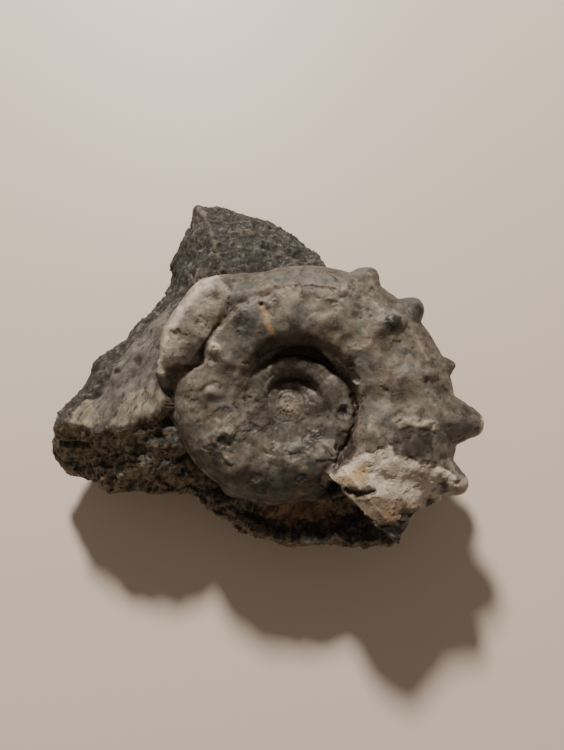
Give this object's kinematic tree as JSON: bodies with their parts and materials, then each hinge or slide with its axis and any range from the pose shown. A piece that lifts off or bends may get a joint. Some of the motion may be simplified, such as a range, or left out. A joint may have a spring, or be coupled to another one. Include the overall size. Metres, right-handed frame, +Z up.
{
  "type": "fossil ammonite in matrix",
  "caption": "Spiny fossil ammonite with a worn coil, half free of the dark wedge of rock that it rests in.",
  "frame": {"origin": "middle of the flat that the rock rests on, straight below the middle of the coil", "axes": "+Z up from the surface, +Y towards the rock's high point behind the coil, +X towards the shell's free, spiny side"},
  "size_m": [0.0754, 0.0634, 0.0283],
  "materials": {
    "shell_calcite": "satin",
    "dark_matrix": "rough"
  },
  "bodies": {
    "root": {"ammonite": "shell_calcite", "matrix": "dark_matrix"}
  },
  "joints": []
}
